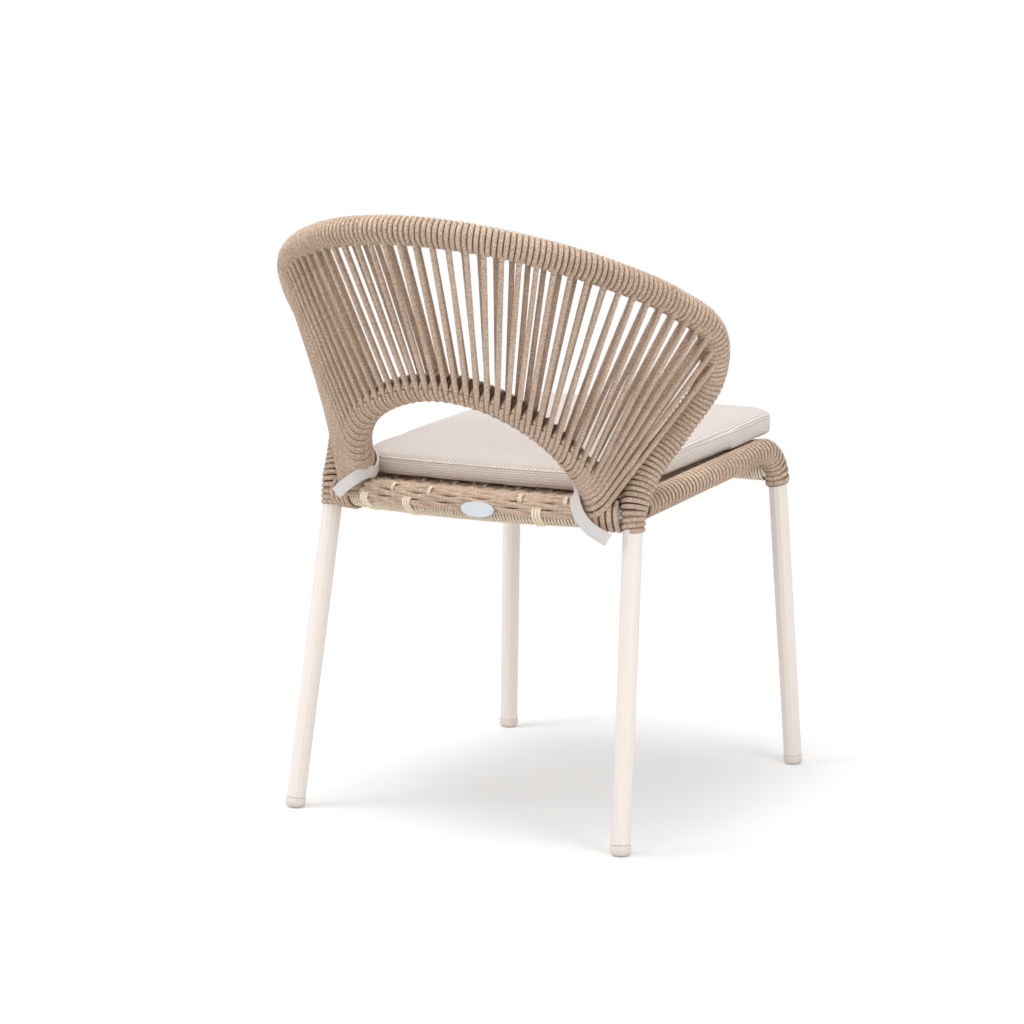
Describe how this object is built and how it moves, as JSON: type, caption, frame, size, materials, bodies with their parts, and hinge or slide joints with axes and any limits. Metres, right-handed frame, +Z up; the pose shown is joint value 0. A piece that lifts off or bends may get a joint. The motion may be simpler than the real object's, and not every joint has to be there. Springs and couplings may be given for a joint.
{
  "type": "acapulco chair",
  "caption": "Rope-woven outdoor dining chair: steel tube frame, round hoop back strung to a low arch, woven seat and a loose boxed cushion tied on at the rear.",
  "frame": {"origin": "on the floor under the middle of the chair's outline", "axes": "+Z up, -Y out of the front of the seat, +X to the sitter's left"},
  "size_m": [0.6426, 0.71, 0.8058],
  "materials": {
    "powder_coat": "satin powder coat",
    "rope": "braided rope, warm grey brown",
    "straw_cord": "fine pale cord",
    "cushion_fabric": "pale woven cover",
    "strap_webbing": "flat woven webbing",
    "glide_plastic": "matt",
    "badge_metal": "satin"
  },
  "bodies": {
    "chair": {"rear_leg_left": "powder_coat", "rear_leg_right": "powder_coat", "back_hoop_tube": "powder_coat", "arch_tube": "powder_coat", "front_leg_and_side_rail_left": "powder_coat", "front_leg_and_side_rail_right": "powder_coat", "rear_rail": "powder_coat", "front_rail": "powder_coat", "foot_glide_rear_left": "glide_plastic", "foot_glide_rear_right": "glide_plastic", "foot_glide_front_left": "glide_plastic", "foot_glide_front_right": "glide_plastic", "hoop_winding": "rope", "arch_winding": "rope", "side_rail_winding_left": "rope", "side_rail_winding_right": "rope", "rail_collar_winding_left": "rope", "rail_collar_winding_right": "rope", "back_strands_01": "rope", "back_strands_02": "rope", "back_strands_03": "rope", "back_strands_04": "rope", "back_strands_05": "rope", "back_strands_06": "rope", "back_strands_07": "rope", "back_strands_08": "rope", "back_strands_09": "rope", "back_strands_10": "rope", "back_strands_11": "rope", "back_strands_12": "rope", "back_strands_13": "rope", "back_strands_14": "rope", "back_strands_15": "rope", "back_strands_16": "rope", "back_strands_17": "rope", "back_strands_18": "rope", "back_strands_19": "rope", "back_strands_20": "rope", "back_strands_21": "rope", "back_strands_22": "rope", "back_strands_23": "rope", "seat_weave": "rope", "rear_rail_cord": "straw_cord", "front_rail_cord": "straw_cord", "tie_strap_left": "strap_webbing", "tie_strap_right": "strap_webbing", "badge_plate": "badge_metal", "badge_rivet_left": "badge_metal", "badge_rivet_right": "badge_metal"},
    "cushion_body": {"cushion": "cushion_fabric"}
  },
  "joints": [
    {"name": "cushion_flip", "type": "hinge", "parent": "chair", "child": "cushion_body", "pos_m": [0, 0.133, 0.4708], "axis": [-1, 0, 0], "range_deg": [0, 90]}
  ]
}
